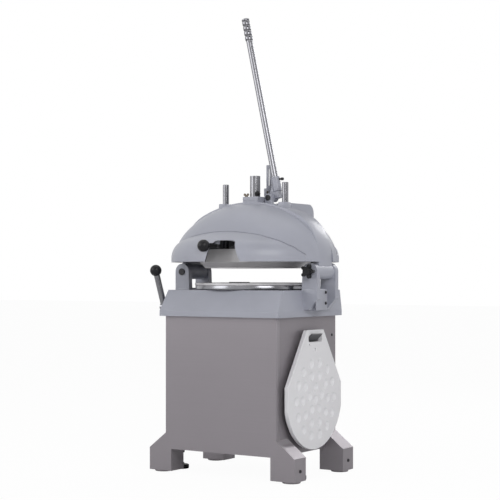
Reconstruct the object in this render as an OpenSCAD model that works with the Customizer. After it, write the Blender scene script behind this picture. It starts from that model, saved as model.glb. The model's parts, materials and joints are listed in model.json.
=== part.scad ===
// Floor-standing divider rounder: a bell-shaped dividing head on a yoke over an orbiting table,
// on a sheet-steel cabinet with four splayed legs.
// Frame: +X to the right of the front, -Y towards the user, +Z up, floor at Z = 0.

/* [Cabinet] */
// Width of the cabinet
cab_w = 560; // [520:5:600]
// Depth of the cabinet
cab_d = 490; // [460:5:510]
// Height of the lower edge of the panels above the floor
panel_z = 103; // [80:1:130]
// Height of the upper edge of the panels above the floor
skirt_z = 676; // [620:2:720]
// Thickness of the panel sheet
sheet = 2; // [1:0.5:4]
// Width of the square frame tubes
tube_w = 25; // [20:1:30]

/* [Legs] */
// How far each leg spreads past the side of the cabinet
leg_reach = 89; // [60:1:110]
// How far each leg reaches in under the cabinet
leg_inset = 27; // [26:1:60]
// Depth of each leg from front to back
leg_depth = 90; // [70:1:100]
// Height of the top of a leg's end face
leg_end_z = 104; // [90:1:120]
// Rise of the sloping top of a leg
leg_rise = 70; // [40:1:90]
// Height of the underside of a leg
leg_clear = 8; // [5:1:20]
// Diameter of the round pad under a leg
glide_d = 76; // [50:1:80]
// Diameter of a levelling foot
foot_d = 66; // [50:1:80]

/* [Skirt] */
// Overhang of the skirt past the sides of the cabinet
skirt_over_x = 22; // [15:1:40]
// Overhang of the skirt past the front and back of the cabinet
skirt_over_y = 18; // [10:1:30]
// Height of the upright lip of the skirt
skirt_lip = 24; // [10:1:40]
// Height of the sloping part of the skirt
skirt_slope_h = 88; // [60:1:110]
// How far the front of the skirt leans back
skirt_front_in = 50; // [20:1:60]
// How far each side of the skirt leans in
skirt_side_in = 10; // [4:1:16]
// Wall of the skirt
skirt_wall = 3; // [2:0.5:5]
// Radius of the opening in the top of the skirt
skirt_hole_r = 222; // [205:1:226]

/* [Head] */
// Radius of the rim of the bell
bell_r = 366; // [350:1:380]
// Height of the tall dome above the rim
dome_h = 261; // [240:1:280]
// Half length of the tall dome from left to right
dome_a = 360; // [345:1:370]
// Height of the visor's crown above its upright rim
visor_h = 148; // [120:1:170]
// Height of the visor's upright rim
visor_rim = 18; // [5:1:30]
// Wall of the bell castings
bell_wall = 6; // [4:0.5:10]
// Gap between the table and the dividing ring when raised
ring_gap = 63; // [60:1:90]
// Height of the ring that shows below the bell
ring_show = 26; // [15:1:40]
// Outside radius of the foot of the dividing ring
ring_r = 221; // [205:1:230]
// Width of the yoke band from front to back
yoke_w = 111; // [90:1:125]
// Half span of the yoke
yoke_a = 356; // [345:1:365]
// Thickness of the yoke band
yoke_t = 26; // [18:1:32]
// Radius of a bracket lug
lug_r = 36; // [30:1:38]
// Thickness of a bracket lug
lug_t = 25; // [15:1:30]
// Diameter of the hinge pin
hinge_d = 25; // [16:1:30]

/* [Press] */
// Diameter of the main post
post_d = 45; // [30:1:50]
// Diameter of a guide rod
rod_d = 27.5; // [16:0.5:32]
// Distance of the guide rods from the middle
rod_x = 155; // [140:1:175]
// Downward travel of the dividing head
press_travel = 55; // [30:1:58]
// Swing of the main lever in degrees
lever_swing = 75; // [50:1:78]
// Diameter of the main lever's tube
lever_d = 29; // [22:1:32]
// Length of the main lever's tube
lever_len = 670; // [500:5:760]
// Lean of the main lever at rest in degrees
lever_lean = 12.4; // [5:0.1:20]

/* [Table and drive] */
// Height of the table top above the floor
table_z = 819; // [815:1:840]
// Radius of the table
table_r = 263; // [245:1:275]
// Thickness of the table
table_t = 12; // [8:1:16]
// Throw of the table's orbit
orbit = 15; // [5:1:20]
// Diameter of the driven pulley
pulley_d = 180; // [120:2:200]
// Diameter of the motor pulley
motor_pulley_d = 60; // [40:1:80]
// Distance from the table shaft to the motor shaft
belt_span = 165; // [150:1:170]

/* [Controls and plate] */
// Diameter of the ball on the rounding lever
ball_d = 50; // [30:1:50]
// Diameter of the ball on the setting lever
setting_ball_d = 52; // [30:1:56]
// Width of the moulding plate
plate_w = 440; // [420:2:450]
// Height of the moulding plate
plate_h = 505; // [490:1:520]
// Thickness of the moulding plate
plate_t = 18; // [12:1:20]
// Distance of the moulding plate from the side panel
plate_off = 20; // [18:1:28]
// Radius of a moulding recess
cup_r = 19; // [12:1:20]

/* [Fits] */
// Radial clearance of a pin or shaft that turns
turn_gap = 0.05; // [0.02:0.01:0.1]
// Radial clearance of a rod that slides
slide_gap = 0.1; // [0.05:0.01:0.1]
// Clearance between two bodies that pass each other
pass_gap = 0.4; // [0.3:0.1:1]

/* [Hidden] */
$fn = 96;
far = 3000;
tiny = 0.02;

steel = [0.66, 0.64, 0.63];
paint = [0.62, 0.64, 0.68];
bright = [0.80, 0.80, 0.82];
black = [0.10, 0.10, 0.11];
white = [0.90, 0.90, 0.91];
bronze = [0.62, 0.46, 0.30];
dark = [0.30, 0.31, 0.33];

// Places of the main axes
bell_y = 25;
cab_y = bell_y - 29;
cab_x2 = cab_w / 2;
cab_y1 = cab_y - cab_d / 2;
cab_y2 = cab_y + cab_d / 2;
frame_x = cab_x2 - sheet;
leg_x = cab_x2 + leg_reach;
leg_in_x = cab_x2 - leg_inset;
leg_slope = leg_rise / leg_reach;
leg_face = leg_depth - sheet;

// Skirt levels
lip_z = skirt_z + skirt_lip;
skirt_top = lip_z + skirt_slope_h;
skirt_x = cab_x2 + skirt_over_x;
skirt_y1 = cab_y1 - skirt_over_y;
skirt_y2 = cab_y2 + skirt_over_y;
flange_in = tube_w + 5;
deck_t = 10;
deck_z = skirt_z + skirt_wall;
deck_top = deck_z + deck_t;

// Head levels
ring_z = table_z + ring_gap;
bell_z = ring_z + ring_show;
yoke_half = yoke_w / 2;
split = yoke_half + pass_gap;
lug_gap = yoke_w + 17;
lug_in = lug_gap / 2;
lug_out = lug_in + lug_t;
hinge_x = yoke_a - yoke_t + 1;
hinge_z = bell_z - lug_r - 5;
hub_r = lug_r - 3;
arch_z = bell_z + 22;
arch_h = dome_h - 22;
yoke_top = arch_z + arch_h;
dome_end_r = 170;
visor_end_r = 80;
yoke_end_r = 150;

// Main lever and its crank
lever_y = bell_y + 45;
fulcrum_x = 63.5;
fulcrum_z = yoke_top + 20;
fulcrum_d = 16;
crank_r = press_travel / (2 * sin(lever_swing / 2));
crank_x = fulcrum_x - crank_r * cos(lever_swing / 2);
crank_z = fulcrum_z + press_travel / 2;
crank_d = 12;
crank_play = crank_r * (1 - cos(lever_swing / 2));
socket_off = 30;
link_t = 8;
lever_half = 20;
arm_y = lever_y + 12;
link_y = lever_y + lever_half + 1.5;
lug_plate = 18.5;
link_half = 12;
press_z = bell_z + 42;
press_t = 12;

// Table drive levels
cheek_t = 9;
pin_top = table_z - table_t - 4;
cheek_top = table_z - table_t - 28;
cheek_z = cheek_top - cheek_t;
boss_z = cheek_top + 2;
idler_x = 150;
drive_x = -orbit;
shaft_d = 40;
pin_d = 24;
idler_d = 24;
belt_z = skirt_z - 70;
belt_h = 13;
motor_y = bell_y - belt_span;
rail_z = belt_z - 42;
plate_rest = rail_z;
motor_plate_t = 8;
motor_r = 70;
motor_h = 190;

// Rounding lever
round_y = cab_y - 203;
round_z = lip_z + 14;
round_d = 16;
round_x = skirt_x + 20;
round_rise = 158;
round_out = 22;
round_front = 32;

// Setting lever
set_z = bell_z + 65;
set_pin_y = bell_y - 290;
set_len = 100;
set_pin_d = 12;

// Feet
foot_x = cab_x2 + 22;
foot_y = cab_y1 + leg_depth + 52;
foot_tab_z = 82;
foot_tab_t = 8;
spindle_d = 16;

// Moulding plate place
plate_x = cab_x2 + plate_off;
plate_y = cab_y + 9;
plate_bottom = leg_end_z + 11;
plate_top = plate_bottom + plate_h;
slot_z = plate_top - 36;
slot_w = 113;
slot_h = 29;

function skirt_side(z) = skirt_x - skirt_side_in * (z - lip_z) / skirt_slope_h;
function oval_r(a, b, r) = ((a - r) * (a - r) + b * b - r * r) / (2 * (b - r));

// Draws its child on both sides of the X = 0 plane
module both_sides() {
  children();
  mirror([1, 0, 0])
    children();
}

// Stands an XZ outline up so that it runs from y1 to y2
module along_y(y1, y2) {
  translate([0, y2, 0])
    rotate([90, 0, 0])
      linear_extrude(y2 - y1)
        children();
}

// Lays a YZ outline out so that it runs from x1 to x2
module along_x(x1, x2) {
  translate([x1, 0, 0])
    rotate([90, 0, 90])
      linear_extrude(x2 - x1)
        children();
}

// A box given by two corners
module block(low, high) {
  translate(low)
    cube(high - low);
}

// A rod along X
module rod_x_axis(x1, x2, d) {
  translate([x1, 0, 0])
    rotate([0, 90, 0])
      cylinder(h = x2 - x1, d = d);
}

// A rod along Y
module rod_y_axis(y1, y2, d) {
  translate([0, y2, 0])
    rotate([90, 0, 0])
      cylinder(h = y2 - y1, d = d);
}

// A quarter of a three-centred oval: half width a, height b, end radius r
module quarter_oval(a, b, r) {
  big = oval_r(a, b, r);
  meet = (a - r) * big / (big - r);
  intersection() {
    square([a + 1, b + 1]);
    translate([0, b - big])
      circle(big, $fn = 240);
    union() {
      square([meet, b + 1]);
      translate([a - r, 0])
        circle(r);
    }
  }
}

// The same oval on both sides of its axis
module half_oval(a, b, r) {
  big = oval_r(a, b, r);
  meet = (a - r) * big / (big - r);
  intersection() {
    translate([-a - 1, 0])
      square([2 * a + 2, b + 1]);
    translate([0, b - big])
      circle(big, $fn = 240);
    union() {
      translate([-meet, 0])
        square([2 * meet, b + 1]);
      for (side = [-1, 1])
        translate([side * (a - r), 0])
          circle(r);
    }
  }
}

// A hexagon nut blank or head, across flats w, along Z
module hexagon(w, h) {
  cylinder(h = h, d = w / cos(30), $fn = 6);
}

// Cabinet
module base_frame() {
  x1 = frame_x - tube_w;
  y1 = cab_y1 + sheet;
  y2 = cab_y2 - sheet;
  color(dark) {
    both_sides() {
      block([x1, y1, panel_z], [frame_x, y1 + tube_w, skirt_z]);
      block([x1, y2 - tube_w, panel_z], [frame_x, y2, skirt_z]);
      for (z = [panel_z + leg_rise, rail_z - tube_w, skirt_z - tube_w])
        block([x1, y1 + tube_w, z], [frame_x, y2 - tube_w, z + tube_w]);
    }
    for (y = [y1, y2 - tube_w])
      for (z = [panel_z + leg_rise, rail_z - tube_w, skirt_z - tube_w])
        block([-x1, y, z], [x1, y + tube_w, z + tube_w]);
  }
}

// Outline of one leg in the XZ plane, drawn in by t
module leg_outline(t) {
  drop = t * sqrt(1 + leg_slope * leg_slope);
  polygon([
    [leg_in_x + t, leg_clear + t],
    [leg_x - t, leg_clear + t],
    [leg_x - t, leg_end_z + t * leg_slope - drop],
    [cab_x2 + t, leg_end_z + leg_rise - t * leg_slope - drop],
    [cab_x2 + t, panel_z - t],
    [leg_in_x + t, panel_z - t]
  ]);
}

module end_panel(y1) {
  along_y(y1, y1 + sheet) {
    translate([-cab_x2, panel_z])
      square([cab_w, skirt_z - panel_z]);
    for (side = [0, 1])
      mirror([side, 0]) {
        leg_outline(0);
        translate([leg_in_x, panel_z - 2])
          square([leg_inset, 4]);
      }
  }
}

module front_panel() {
  color(steel)
    end_panel(cab_y1);
}

module rear_panel() {
  color(steel)
    difference() {
      end_panel(cab_y2 - sheet);
      translate([-170, 0, panel_z + 150])
        rod_y_axis(cab_y2 - sheet - 1, cab_y2 + 1, 25);
    }
}

module side_panel() {
  block([frame_x, cab_y1 + sheet, panel_z], [cab_x2, cab_y2 - sheet, skirt_z]);
}

module left_panel() {
  color(steel)
    mirror([1, 0, 0])
      side_panel();
}

module right_panel() {
  color(steel)
    side_panel();
}

// One leg: a folded box, open to the panel that faces it
module leg_box() {
  y1 = cab_y1 + sheet;
  y2 = cab_y1 + leg_depth;
  difference() {
    along_y(y1, y2)
      leg_outline(0);
    along_y(y1 - 1, y2 - sheet)
      leg_outline(sheet);
    translate([leg_x - sheet - 1, cab_y1 + leg_depth / 2, leg_clear + 42])
      rotate([0, 90, 0])
        cylinder(h = sheet + 2, d = 8.4);
  }
}

module leg_boxes() {
  color(steel) {
    both_sides() {
      leg_box();
      block([foot_x - 26, cab_y1 + leg_depth, foot_tab_z],
            [foot_x + 14, foot_y - spindle_d / 2 - 1, foot_tab_z + foot_tab_t]);
      difference() {
        block([foot_x - 26, foot_y - spindle_d / 2 - 1, foot_tab_z],
              [foot_x + 14, foot_y + 16, foot_tab_z + foot_tab_t]);
        translate([foot_x, foot_y, foot_tab_z - 1])
          cylinder(h = foot_tab_t + 2, d = spindle_d + 0.1);
      }
      translate([0, 2 * cab_y, 0])
        mirror([0, 1, 0])
          leg_box();
    }
  }
}

module leg_glides() {
  color(steel)
    both_sides()
      for (y = [cab_y1 + leg_depth / 2, cab_y2 - leg_depth / 2])
        translate([leg_x - 42, y, 0])
          rotate_extrude()
            polygon([[0, 0], [glide_d / 2 - 2, 0], [glide_d / 2, 2], [glide_d / 2, leg_clear], [0, leg_clear]]);
}

module leg_bolts() {
  color(dark)
    both_sides()
      for (y = [cab_y1 + leg_depth / 2, cab_y2 - leg_depth / 2])
        translate([leg_x, y, leg_clear + 42]) {
          rotate([0, 90, 0])
            difference() {
              cylinder(h = 4, d1 = 15, d2 = 12);
              translate([0, 0, 2])
                cylinder(h = 3, d = 6);
            }
          rod_x_axis(-sheet - 12, 0, 8);
        }
}

module foot_pads() {
  color(black)
    both_sides()
      translate([foot_x, foot_y, 0])
        rotate_extrude()
          polygon([[0, 0], [foot_d / 2 - 2, 0], [foot_d / 2, 3], [foot_d / 2, 16],
                   [foot_d / 2 - 5, 19], [12, 22], [12, 26], [0, 26]]);
}

module foot_spindles() {
  color(bright)
    both_sides()
      translate([foot_x, foot_y, 26])
        cylinder(h = foot_tab_z + foot_tab_t + 8 - 26, d = spindle_d);
}

module foot_nuts() {
  color(black)
    both_sides()
      for (z = [foot_tab_z - 12, foot_tab_z + foot_tab_t])
        translate([foot_x, foot_y, z])
          difference() {
            union() {
              hexagon(26, z < foot_tab_z ? 12 : 7);
              translate([0, 0, z < foot_tab_z ? 9 : 0])
                cylinder(h = 3, d = 34);
            }
            translate([0, 0, -1])
              cylinder(h = 14, d = spindle_d + tiny);
          }
}

module cable_gland() {
  color(black)
    translate([-170, 0, panel_z + 150]) {
      difference() {
        union() {
          rod_y_axis(cab_y2 - sheet - 10, cab_y2, 24.8);
          translate([0, cab_y2, 0])
            rotate([-90, 0, 0])
              hexagon(32, 8);
          rod_y_axis(cab_y2 + 8, cab_y2 + 22, 24);
        }
        rod_y_axis(cab_y2 - sheet - 11, cab_y2 + 23, 12);
      }
    }
}

// Skirt and deck
module skirt_solid(t) {
  intersection() {
    along_x(-far, far)
      polygon([
        [skirt_y1 + t, skirt_z + t], [skirt_y2 - t, skirt_z + t], [skirt_y2 - t, skirt_top - t],
        [skirt_y1 + skirt_front_in + t, skirt_top - t], [skirt_y1 + t, lip_z]
      ]);
    along_y(-far, far)
      polygon([
        [-skirt_x + t, skirt_z], [skirt_x - t, skirt_z], [skirt_x - t, lip_z],
        [skirt_side(skirt_top) - t, skirt_top], [-skirt_side(skirt_top) + t, skirt_top], [-skirt_x + t, lip_z]
      ]);
  }
}

module skirt() {
  color(paint)
    difference() {
      union() {
        difference() {
          skirt_solid(0);
          skirt_solid(skirt_wall);
          block([-frame_x + flange_in, cab_y1 + flange_in, skirt_z - 1],
                [frame_x - flange_in, cab_y2 - flange_in, deck_z + 1]);
          translate([0, bell_y, deck_top])
            cylinder(h = far, r = skirt_hole_r);
        }
        translate([0, round_y, round_z])
          rod_x_axis(-skirt_side(round_z) + 2, -skirt_x + 30, 34);
      }
      both_sides()
        bracket_bolt_places(12);
      translate([0, round_y, round_z])
        rod_x_axis(-skirt_x - 1, -skirt_x + 31, round_d + 2 * turn_gap);
    }
}

module deck_plate() {
  color(dark)
    difference() {
      block([-skirt_x + 14, cab_y1 + 6, deck_z], [skirt_x - 14, cab_y2 - 6, deck_top]);
      translate([drive_x, bell_y, deck_z - 1])
        cylinder(h = deck_t + 2, d = shaft_d + 20);
    }
}

// Brackets that carry the head
module bracket_outline() {
  foot = lip_z + 6;
  translate([hinge_x, hinge_z])
    circle(lug_r);
  polygon([
    [skirt_side(foot), foot], [hinge_x - 6, foot], [hinge_x + lug_r, foot + 46], [hinge_x + lug_r, hinge_z],
    [hinge_x - lug_r, hinge_z], [skirt_side(skirt_top), skirt_top]
  ]);
}

module bracket() {
  foot = lip_z + 6;
  for (y = [bell_y - lug_out, bell_y + lug_in])
    along_y(y, y + lug_t)
      bracket_outline();
  along_y(bell_y - lug_in, bell_y + lug_in)
    polygon([
      [skirt_side(foot), foot], [skirt_side(foot) + 16, foot],
      [skirt_side(skirt_top) + 16, skirt_top], [skirt_side(skirt_top), skirt_top]
    ]);
}

module bracket_bolt_places(d) {
  for (y = [-32, 32])
    translate([skirt_side(lip_z + 45) - 25, bell_y + y, lip_z + 45])
      rod_x_axis(0, 60, d);
}

module left_bracket() {
  color(paint)
    mirror([1, 0, 0])
      difference() {
        bracket();
        bracket_bolt_places(10.4);
        translate([hinge_x, 0, hinge_z])
          rod_y_axis(bell_y - lug_out - 1, bell_y + lug_out + 1, hinge_d);
      }
}

module right_bracket() {
  color(paint)
    difference() {
      bracket();
      bracket_bolt_places(10.4);
      translate([hinge_x, 0, hinge_z])
        rod_y_axis(bell_y - lug_out - 1, bell_y - lug_in + 1, 12 + 2 * turn_gap);
    }
}

module bracket_bolts() {
  face = skirt_side(lip_z + 45) + 17;
  color(dark)
    both_sides()
      for (y = [-32, 32])
        translate([face, bell_y + y, lip_z + 45]) {
          rotate([0, 90, 0])
            hexagon(17, 7);
          rod_x_axis(-33, 0, 10);
          translate([-30, 0, 0])
            rotate([0, 90, 0])
              hexagon(17, 8);
        }
}

module hinge_pin() {
  color(black)
    translate([-hinge_x, 0, hinge_z]) {
      rod_y_axis(bell_y - lug_out - 3, bell_y + lug_out + 2, hinge_d - tiny);
      rod_y_axis(bell_y - lug_out - 5, bell_y - lug_out, hinge_d + 5);
      rod_y_axis(bell_y + lug_out, bell_y + lug_out + 4, hinge_d + 5);
    }
}

module clamp_screw() {
  color(dark)
    translate([hinge_x, 0, hinge_z])
      rod_y_axis(bell_y - lug_out - 14, bell_y - lug_in - pass_gap, 12);
}

module star_knob() {
  face = bell_y - lug_out - 6;
  color(black)
    translate([hinge_x, face, hinge_z])
      rotate([90, 0, 0])
        difference() {
          union() {
            cylinder(h = 24, d = 34);
            translate([0, 0, 4])
              linear_extrude(16)
                for (a = [0 : 72 : 288])
                  rotate(a) {
                    translate([0, -7])
                      square([24, 14]);
                    translate([24, 0])
                      circle(7);
                  }
            translate([0, 0, -5.6])
              cylinder(h = 6, d = 22);
          }
          translate([0, 0, -6])
            cylinder(h = 14, d = 12 + tiny);
        }
}

// Yoke
module yoke_outline(t) {
  translate([0, arch_z])
    half_oval(yoke_a - t, arch_h - t, yoke_end_r - t);
  translate([-yoke_a + t, hinge_z])
    square([2 * (yoke_a - t), arch_z - hinge_z]);
}

module yoke_arch() {
  along_y(bell_y - yoke_half, bell_y + yoke_half)
    difference() {
      yoke_outline(0);
      yoke_outline(yoke_t);
      translate([-yoke_a + yoke_t, 0])
        square([2 * (yoke_a - yoke_t), hinge_z + 1]);
    }
}

module yoke() {
  hub_len = lug_in - pass_gap;
  color(paint)
    difference() {
      union() {
        yoke_arch();
        both_sides()
          translate([hinge_x, 0, hinge_z])
            rod_y_axis(bell_y - hub_len, bell_y + hub_len, 2 * hub_r);
        for (y = [bell_y - 34, bell_y + 26])
          along_y(y, y + 8)
            difference() {
              intersection() {
                yoke_outline(yoke_t - 1);
                translate([-yoke_a, bell_z + 150])
                  square([2 * yoke_a, far]);
              }
              yoke_outline(yoke_t + 16);
            }
      }
      translate([-hinge_x, 0, hinge_z])
        rod_y_axis(bell_y - lug_in, bell_y + lug_in, hinge_d + 6);
      translate([0, bell_y, arch_z])
        cylinder(h = far, d = post_d + 2 * slide_gap);
      for (x = [-rod_x, rod_x])
        translate([x, bell_y, arch_z])
          cylinder(h = far, d = rod_d + 2 * slide_gap);
    }
}

module hinge_bush() {
  color(bronze)
    translate([-hinge_x, 0, hinge_z])
      difference() {
        rod_y_axis(bell_y - lug_in + pass_gap, bell_y + lug_in - pass_gap, hinge_d + 6 - tiny);
        rod_y_axis(bell_y - lug_in, bell_y + lug_in, hinge_d + 2 * turn_gap);
      }
}

// Bell castings: a tall dome across the machine joined to a low round visor
module tall_dome(t) {
  rotate([0, 90, 0])
    rotate_extrude()
      mirror([1, -1])
        half_oval(dome_a - t, dome_h - t, dome_end_r - t);
}

module low_visor(t) {
  rotate_extrude($fn = 180) {
    translate([0, visor_rim])
      quarter_oval(bell_r - t, visor_h - t, visor_end_r - t);
    translate([0, -10])
      square([bell_r - t, visor_rim + 10]);
  }
}

module bell_half(t) {
  low = t > 0 ? -1 : 0;
  intersection() {
    union() {
      tall_dome(t);
      low_visor(t);
    }
    block([-far, -far, low], [far, -split + (t > 0 ? 1 : 0), far]);
  }
}

// Opening in the front of the visor for the setting lever
module visor_cutout() {
  along_y(-far, -bell_r + 100) {
    polygon([[-14, -1], [148, -1], [105, 88], [17, 88]]);
    translate([-17, set_z - bell_z - 12])
      square([100, 24]);
  }
}

module bell_front() {
  pin_y = set_pin_y - bell_y;
  boss_top = visor_rim + visor_h - 62;
  color(paint)
    translate([0, bell_y, bell_z])
      difference() {
        union() {
          difference() {
            bell_half(0);
            bell_half(bell_wall);
            visor_cutout();
          }
          intersection() {
            translate([0, pin_y, set_z - bell_z + 8])
              cylinder(h = boss_top, d = 28);
            bell_half(0);
          }
        }
        translate([0, pin_y, 0])
          cylinder(h = set_z - bell_z + 24, d = set_pin_d + 2 * turn_gap);
      }
}

module bell_rear() {
  color(paint)
    translate([0, bell_y, bell_z])
      difference() {
        mirror([0, 1, 0])
          bell_half(0);
        mirror([0, 1, 0])
          bell_half(bell_wall);
        block([fulcrum_x - 76, split - 12, dome_h - 50], [fulcrum_x + 24, link_y - bell_y + link_t + 8, dome_h + 30]);
      }
}

// Rounded housing on the rear of the bell for the lift strut
module strut_housing() {
  x1 = 58;
  w = 78;
  y1 = split + 27;
  len = 190;
  color(paint)
    translate([0, bell_y, bell_z])
      difference() {
        intersection() {
          along_x(x1, x1 + w) {
            translate([y1, 60])
              square([len - 40, yoke_top - bell_z - 62]);
            translate([y1 + len - 40, yoke_top - bell_z - 42])
              circle(40);
            translate([y1, 60])
              square([len, yoke_top - bell_z - 102]);
          }
          block([-far, 0, 0], [far, far, far]);
        }
        mirror([0, 1, 0])
          bell_half(0);
        mirror([0, 1, 0])
          bell_half(bell_wall);
      }
}

// Pads on the crown of the yoke
module rod_pads() {
  color(paint)
    difference() {
      for (x = [-rod_x, rod_x])
        block([x - 38, bell_y - 32, yoke_top - 60], [x + 38, bell_y + 22, yoke_top - 2]);
      along_y(bell_y - yoke_half, bell_y + yoke_half)
        yoke_outline(0);
      for (x = [-rod_x, rod_x])
        translate([x, bell_y, arch_z])
          cylinder(h = far, d = rod_d + 2 * slide_gap);
    }
}

module top_block() {
  color(paint)
    difference() {
      block([-39, bell_y - 39, yoke_top - 10], [39, bell_y + 30, yoke_top + 24]);
      along_y(bell_y - yoke_half, bell_y + yoke_half)
        yoke_outline(0);
      translate([0, bell_y, arch_z])
        cylinder(h = far, d = post_d + 2 * slide_gap);
      block([-40, bell_y - 40, yoke_top + 7], [40, bell_y - 37, yoke_top + 9]);
      for (x = [-28, 30])
        translate([x, bell_y - 27, yoke_top + 10])
          cylinder(h = 30, d = 8 + 2 * turn_gap);
    }
}

module wing_nut() {
  color(bronze)
    translate([-28, bell_y - 27, yoke_top + 24 + pass_gap]) {
      cylinder(h = 9, d1 = 15, d2 = 12);
      translate([0, 0, -11])
        cylinder(h = 12, d = 8);
      for (s = [-1, 1])
        translate([s * 8, 0, 10])
          rotate([90, 0, 0])
            translate([0, 0, -2])
              cylinder(h = 4, d = 11);
    }
}

module lock_knob() {
  color(black)
    translate([30, bell_y - 27, yoke_top + 24 + pass_gap]) {
      translate([0, 0, -11])
        cylinder(h = 14, d = 8);
      rotate_extrude()
        polygon([[0, 0], [7, 0], [7, 6], [12, 9], [13, 14], [11, 20], [6, 23], [0, 23.5]]);
    }
}

// Main lever
module lever_lugs() {
  y2 = lever_y - lever_half - pass_gap;
  color(paint)
    difference() {
      along_y(y2 - lug_plate, y2) {
        translate([fulcrum_x, fulcrum_z])
          circle(18);
        translate([fulcrum_x - 18, yoke_top - 14])
          square([36, fulcrum_z - yoke_top + 14]);
      }
      along_y(bell_y - yoke_half - 1, bell_y + yoke_half + 1)
        yoke_outline(0);
      translate([fulcrum_x, 0, fulcrum_z])
        rod_y_axis(y2 - lug_plate - 1, y2 + 1, fulcrum_d);
    }
}

module fulcrum_pin() {
  y1 = lever_y - lever_half - pass_gap - lug_plate;
  y2 = lever_y + lever_half + pass_gap;
  color(black)
    translate([fulcrum_x, 0, fulcrum_z]) {
      rod_y_axis(y1 - 1, y2 + 1, fulcrum_d - tiny);
      rod_y_axis(y1 - 4, y1, fulcrum_d + 8);
      rod_y_axis(y2, y2 + 3, fulcrum_d + 6);
    }
}

module lever_place() {
  translate([fulcrum_x, lever_y, fulcrum_z])
    rotate([0, -lever_lean, 0])
      children();
}

// Cast foot of the lever: hub on the fulcrum, crank arm to the left, socket for the tube
module lever_socket() {
  color(paint)
    difference() {
      union() {
        translate([fulcrum_x, 0, fulcrum_z])
          rod_y_axis(lever_y - lever_half, lever_y + lever_half, 34);
        along_y(lever_y - 13, lever_y + 13)
          translate([fulcrum_x, fulcrum_z])
            rotate(90 + lever_lean)
              polygon([[-8, -socket_off - 12], [60, -socket_off - 12], [60, -socket_off + 12], [16, 6], [-8, 12]]);
        along_y(arm_y, lever_y + lever_half) {
          translate([fulcrum_x, fulcrum_z])
            rotate(180 - lever_swing / 2)
              polygon([[0, -13], [crank_r, -9], [crank_r, 9], [0, 13]]);
          translate([crank_x, crank_z])
            circle(11);
        }
        lever_place()
          translate([socket_off, 0, 24])
            cylinder(h = 62, d = lever_d + 11);
      }
      translate([fulcrum_x, 0, fulcrum_z])
        rod_y_axis(lever_y - 40, lever_y + 40, fulcrum_d + 2 * turn_gap);
      translate([crank_x, 0, crank_z])
        rod_y_axis(lever_y - 40, lever_y + 40, crank_d);
      lever_place()
        translate([socket_off, 0, 40])
          cylinder(h = far, d = lever_d);
    }
}

module lever_tube() {
  color(bright)
    lever_place()
      translate([socket_off, 0, 40])
        difference() {
          cylinder(h = lever_len, d = lever_d - tiny);
          translate([0, 0, -1])
            cylinder(h = lever_len + 2, d = lever_d - 5);
        }
}

// Beaded metal grip with a domed end
module lever_grip() {
  beads = 6;
  pitch = 14;
  color(bright)
    lever_place()
      translate([socket_off, 0, 40 + lever_len]) {
        translate([0, 0, -20])
          cylinder(h = 20, d = lever_d - 5 - tiny);
        rotate_extrude() {
          square([lever_d / 2, beads * pitch + 8]);
          for (i = [0 : beads - 1])
            translate([lever_d / 2 - 4, pitch * (i + 0.5) + 2])
              intersection() {
                circle(7);
                translate([-2, -8])
                  square([16, 16]);
              }
          translate([0, beads * pitch + 8])
            intersection() {
              square(lever_d);
              circle(lever_d / 2);
            }
        }
      }
}

module crank_pin() {
  color(bronze)
    translate([crank_x, 0, crank_z])
      rod_y_axis(arm_y, link_y + link_t + 1.5, crank_d - tiny);
}

// Press group
module press_link() {
  slot_x1 = crank_x - crank_play - crank_d / 2 - 1;
  slot_x2 = crank_x + crank_d / 2 + 1;
  head_w = 8;
  color(bright)
    difference() {
      union() {
        block([crank_x - link_half, link_y, press_z + press_t],
              [crank_x + link_half, link_y + link_t, yoke_top + 168]);
        block([slot_x1 - head_w, link_y, crank_z - 18], [slot_x2 + head_w, link_y + link_t, crank_z + 18]);
      }
      block([slot_x1, link_y - 1, crank_z - crank_d / 2 - 1.6],
            [slot_x2, link_y + link_t + 1, crank_z + crank_d / 2 + 1.6]);
      block([crank_x - 4, link_y - 1, crank_z + 30], [crank_x + 4, link_y + link_t + 1, yoke_top + 150]);
    }
}

module main_post() {
  top = yoke_top + 116;
  color(bright)
    translate([0, bell_y, press_z + press_t])
      difference() {
        cylinder(h = top - press_z - press_t, d = post_d);
        translate([0, 0, top - press_z - press_t - 6])
          cylinder(h = 7, d = post_d - 12);
      }
}

module guide_rods() {
  top = yoke_top + 84;
  color(bright)
    for (x = [-rod_x, rod_x])
      translate([x, bell_y, press_z + press_t])
        rotate_extrude()
          polygon([[0, 0], [rod_d / 2, 0], [rod_d / 2, top - press_z - press_t - 2],
                   [rod_d / 2 - 2, top - press_z - press_t], [0, top - press_z - press_t]]);
}

module press_plate() {
  color(bright)
    translate([0, bell_y, press_z])
      cylinder(h = press_t, r = ring_r - 2 - tiny);
}

// Dividing ring: a flared stainless skirt that hangs from the press plate
module dividing_ring() {
  t = 4;
  color(bright)
    translate([0, bell_y, ring_z])
      rotate_extrude($fn = 180)
        polygon([[ring_r - t, 0], [ring_r, 0], [ring_r, 3], [ring_r + 22, ring_show - 1],
                 [ring_r + 22, press_z - ring_z + press_t], [ring_r - 2, press_z - ring_z + press_t],
                 [ring_r - 2, press_z - ring_z], [ring_r + 22 - t, press_z - ring_z],
                 [ring_r + 22 - t, ring_show], [ring_r - t, 4]]);
}

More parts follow.
